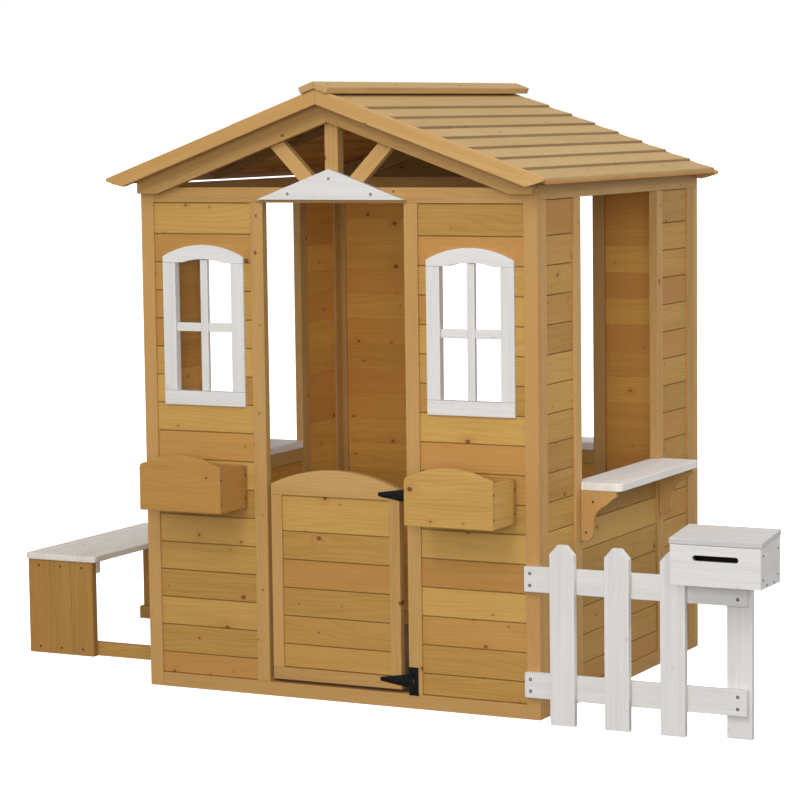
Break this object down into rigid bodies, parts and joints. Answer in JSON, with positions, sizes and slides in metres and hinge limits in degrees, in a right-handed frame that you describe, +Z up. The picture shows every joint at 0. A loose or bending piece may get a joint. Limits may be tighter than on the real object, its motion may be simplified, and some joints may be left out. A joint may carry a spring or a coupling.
{
  "type": "garden playhouse",
  "caption": "Timber garden playhouse: gabled cabin with half door, arched windows, flower boxes, counters, bench, picket fence and lidded mailbox.",
  "frame": {"origin": "centre of the whole object's footprint, on the ground", "axes": "+X along the front wall towards the fence and mailbox, +Y from the door wall to the rear wall, +Z up"},
  "size_m": [2.0586, 1.173, 1.3975],
  "materials": {
    "stained_timber": "stained softwood boards, satin",
    "roof_timber": "paler stained softwood planks, matte",
    "white_timber": "white painted softwood, satin",
    "whitewashed_timber": "thin translucent white stain",
    "black_steel": "black powder coat"
  },
  "bodies": {
    "house": {"front_wall_frame": "stained_timber", "front_cladding_left": "stained_timber", "front_cladding_right": "stained_timber", "right_wall_frame": "stained_timber", "right_cladding_front": "stained_timber", "right_cladding_rear": "stained_timber", "right_cladding_lower": "stained_timber", "right_bracket_front": "stained_timber", "right_bracket_rear": "stained_timber", "left_wall_frame": "stained_timber", "left_cladding_front": "stained_timber", "left_cladding_rear": "stained_timber", "left_cladding_lower": "stained_timber", "rear_wall_frame": "stained_timber", "rear_cladding_left": "stained_timber", "rear_cladding_right": "stained_timber", "rear_cladding_lower": "stained_timber", "bargeboard_front_left": "stained_timber", "bargeboard_front_right": "stained_timber", "bargeboard_rear_left": "stained_timber", "bargeboard_rear_right": "stained_timber", "front_rafter_left": "stained_timber", "front_rafter_right": "stained_timber", "rear_gable": "stained_timber", "king_post": "stained_timber", "gable_strut_left": "stained_timber", "gable_strut_right": "stained_timber", "bench_leg_front": "stained_timber", "bench_leg_rear": "stained_timber", "bench_rail_front": "stained_timber", "bench_rail_rear": "stained_timber", "flower_box_left": "stained_timber", "flower_box_right": "stained_timber", "roof_deck_left": "roof_timber", "roof_deck_right": "roof_timber", "ridge_cap_left": "roof_timber", "ridge_cap_right": "roof_timber", "window_casing_left": "white_timber", "window_casing_right": "white_timber", "window_bars_left": "white_timber", "window_bars_right": "white_timber", "right_counter": "white_timber", "left_counter": "white_timber", "rear_counter": "white_timber", "gable_plate": "white_timber", "fence_rail_top": "white_timber", "fence_rail_bottom": "white_timber", "fence_picket_1": "white_timber", "fence_picket_2": "white_timber", "fence_picket_3": "white_timber", "fence_post": "white_timber", "mailbox_body": "white_timber", "bench_seat": "whitewashed_timber", "hinge_plate_upper": "black_steel", "hinge_plate_lower": "black_steel"},
    "door": {"door_frame": "stained_timber", "door_cladding": "stained_timber", "hinge_strap_upper": "black_steel", "hinge_strap_lower": "black_steel"},
    "mailbox_lid": {"mailbox_lid": "white_timber"}
  },
  "joints": [
    {"name": "door_hinge", "type": "hinge", "parent": "house", "child": "door", "pos_m": [0.16375, -0.4705, 0.28], "axis": [0, 0, 1], "range_deg": [0, 100]},
    {"name": "mailbox_lid_hinge", "type": "hinge", "parent": "house", "child": "mailbox_lid", "pos_m": [0.92675, -0.4668, 0.4426], "axis": [-1, 0, 0], "range_deg": [0, 100]}
  ]
}
